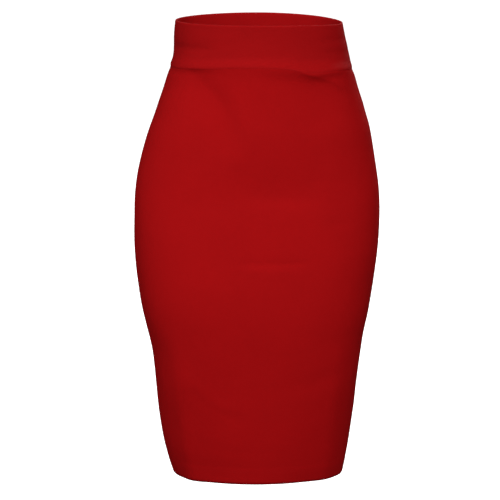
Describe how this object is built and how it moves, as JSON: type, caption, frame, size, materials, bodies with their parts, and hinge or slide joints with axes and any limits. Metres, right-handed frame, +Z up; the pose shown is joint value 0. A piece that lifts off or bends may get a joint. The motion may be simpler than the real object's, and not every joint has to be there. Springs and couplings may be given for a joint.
{
  "type": "pencil skirt",
  "caption": "High-waisted knee-length pencil skirt in plain stretch knit with a wide folded waistband, filled out as worn and open at waist and hem.",
  "frame": {"origin": "centre of the waistband's top edge, at the natural waist, where the wearer's waist holds the skirt", "axes": "+Z up along the wearer, the skirt's front faces -Y, and the wearer's left side is at +X"},
  "size_m": [0.3673, 0.2389, 0.6906],
  "materials": {
    "waistband_knit": "matt red stretch knit, folded double",
    "skirt_knit": "matt red stretch knit"
  },
  "bodies": {
    "root": {"waistband_front": "waistband_knit", "waistband_back": "waistband_knit", "skirt_front": "skirt_knit", "skirt_back": "skirt_knit"}
  },
  "joints": []
}
